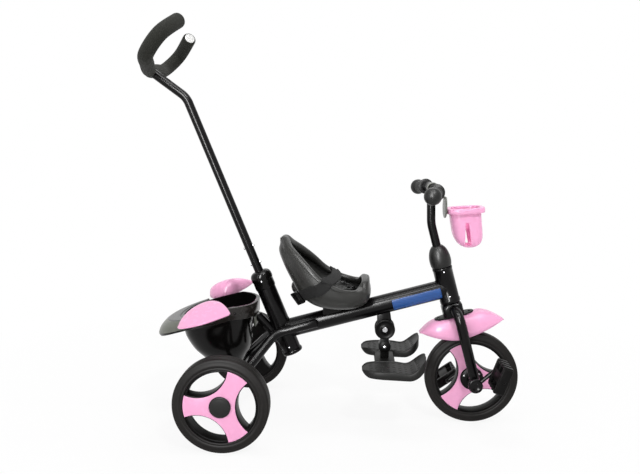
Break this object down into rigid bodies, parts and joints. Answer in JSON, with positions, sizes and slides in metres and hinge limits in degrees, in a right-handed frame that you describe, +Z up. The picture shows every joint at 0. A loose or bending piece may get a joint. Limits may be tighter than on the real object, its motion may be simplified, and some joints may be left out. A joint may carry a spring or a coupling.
{
  "type": "tricycle",
  "caption": "Child's tricycle with a parent push handle, bucket seat with lap belt, rear bin, front basket, steering fork, pedals and folding footrest.",
  "frame": {"origin": "on the ground below the middle of the tricycle's box", "axes": "+X forward, +Y to the rider's left, +Z up"},
  "size_m": [0.8994, 0.4492, 0.9354],
  "materials": {
    "black_paint": "gloss",
    "gloss_black": "gloss",
    "black_plastic": "satin",
    "dark_plastic": "satin",
    "grey_plastic": "satin",
    "tyre": "matte",
    "foam": "matte",
    "pink": "gloss",
    "webbing": "matte",
    "steel": "satin"
  },
  "bodies": {
    "frame": {"main_tube": "black_paint", "socket_tube": "black_paint", "head_tube": "black_paint", "socket_collar": "black_plastic", "socket_end_cap": "black_plastic", "rear_axle_tube": "black_paint", "rear_axle": "steel", "right_stay": "black_paint", "left_stay": "black_paint", "lower_head_bush": "black_plastic", "upper_head_bush": "black_plastic", "rear_bin": "gloss_black", "bin_rear_lip": "grey_plastic", "bin_support": "black_paint", "right_wing": "pink", "left_wing": "pink", "seat": "dark_plastic", "seat_mount": "black_plastic", "lap_belt": "webbing", "belt_slider": "black_plastic", "footrest_bracket": "black_paint", "footrest_bolt": "steel"},
    "footrest": {"footrest_strut": "black_plastic", "footrest_bridge": "black_plastic", "right_footplate": "dark_plastic", "left_footplate": "dark_plastic"},
    "steering": {"fork_crown": "black_paint", "right_fork_leg": "black_paint", "left_fork_leg": "black_paint", "front_fender": "pink", "fender_plate": "black_plastic", "head_cover": "dark_plastic", "crossbar": "black_paint", "handlebar_stem": "black_paint", "right_grip": "dark_plastic", "left_grip": "dark_plastic", "front_basket": "pink", "basket_bracket": "grey_plastic"},
    "front_wheel": {"front_tyre": "tyre", "front_rim": "black_plastic", "front_right_insert": "pink", "front_left_insert": "pink", "pedal_crank": "steel"},
    "right_pedal_body": {"right_pedal": "black_plastic"},
    "left_pedal_body": {"left_pedal": "black_plastic"},
    "right_rear_wheel": {"right_rear_tyre": "tyre", "right_rear_rim": "black_plastic", "right_rear_insert": "pink", "right_hub_cap": "dark_plastic"},
    "left_rear_wheel": {"left_rear_tyre": "tyre", "left_rear_rim": "black_plastic", "left_rear_insert": "pink", "left_hub_cap": "dark_plastic"},
    "push_handle": {"push_pole": "black_paint", "right_foam_grip": "foam", "left_foam_grip": "foam"},
    "lower_front_button_body": {"lower_front_button": "steel"},
    "lower_rear_button_body": {"lower_rear_button": "steel"},
    "upper_front_button_body": {"upper_front_button": "steel"},
    "upper_rear_button_body": {"upper_rear_button": "steel"}
  },
  "joints": [
    {"name": "steering_turn", "type": "hinge", "parent": "frame", "child": "steering", "pos_m": [0.27764, 0, 0.32465], "axis": [-0.2605, 0, 0.9655], "range_deg": [-20, 20]},
    {"name": "front_wheel_spin", "type": "hinge", "parent": "steering", "child": "front_wheel", "pos_m": [0.33969, 0, 0.11], "axis": [0, 1, 0], "continuous": true},
    {"name": "right_pedal_spin", "type": "hinge", "parent": "front_wheel", "child": "right_pedal_body", "pos_m": [0.38498, -0.117, 0.14936], "axis": [0, 1, 0], "continuous": true},
    {"name": "left_pedal_spin", "type": "hinge", "parent": "front_wheel", "child": "left_pedal_body", "pos_m": [0.29441, 0.117, 0.07064], "axis": [0, 1, 0], "continuous": true},
    {"name": "right_rear_wheel_spin", "type": "hinge", "parent": "frame", "child": "right_rear_wheel", "pos_m": [-0.22531, -0.2, 0.105], "axis": [0, 1, 0], "continuous": true},
    {"name": "left_rear_wheel_spin", "type": "hinge", "parent": "frame", "child": "left_rear_wheel", "pos_m": [-0.22531, 0.2, 0.105], "axis": [0, 1, 0], "continuous": true},
    {"name": "footrest_fold", "type": "hinge", "parent": "frame", "child": "footrest", "pos_m": [0.13239, 0, 0.2243], "axis": [0, 1, 0], "range_deg": [0, 70]},
    {"name": "push_handle_slide", "type": "slide", "parent": "frame", "child": "push_handle", "axis": [-0.3785, 0, 0.9256], "range_m": [0, 0.1]},
    {"name": "lower_front_button_press", "type": "slide", "parent": "push_handle", "child": "lower_front_button_body", "axis": [-0.9256, 0, -0.3785], "range_m": [0, 0.0025], "stiffness_N_per_m": 400, "springref_m": -0.001},
    {"name": "lower_rear_button_press", "type": "slide", "parent": "push_handle", "child": "lower_rear_button_body", "axis": [0.9256, 0, 0.3785], "range_m": [0, 0.0025], "stiffness_N_per_m": 400, "springref_m": -0.001},
    {"name": "upper_front_button_press", "type": "slide", "parent": "push_handle", "child": "upper_front_button_body", "axis": [-0.9256, 0, -0.3785], "range_m": [0, 0.0025], "stiffness_N_per_m": 400, "springref_m": -0.001},
    {"name": "upper_rear_button_press", "type": "slide", "parent": "push_handle", "child": "upper_rear_button_body", "axis": [0.9256, 0, 0.3785], "range_m": [0, 0.0025], "stiffness_N_per_m": 400, "springref_m": -0.001}
  ]
}
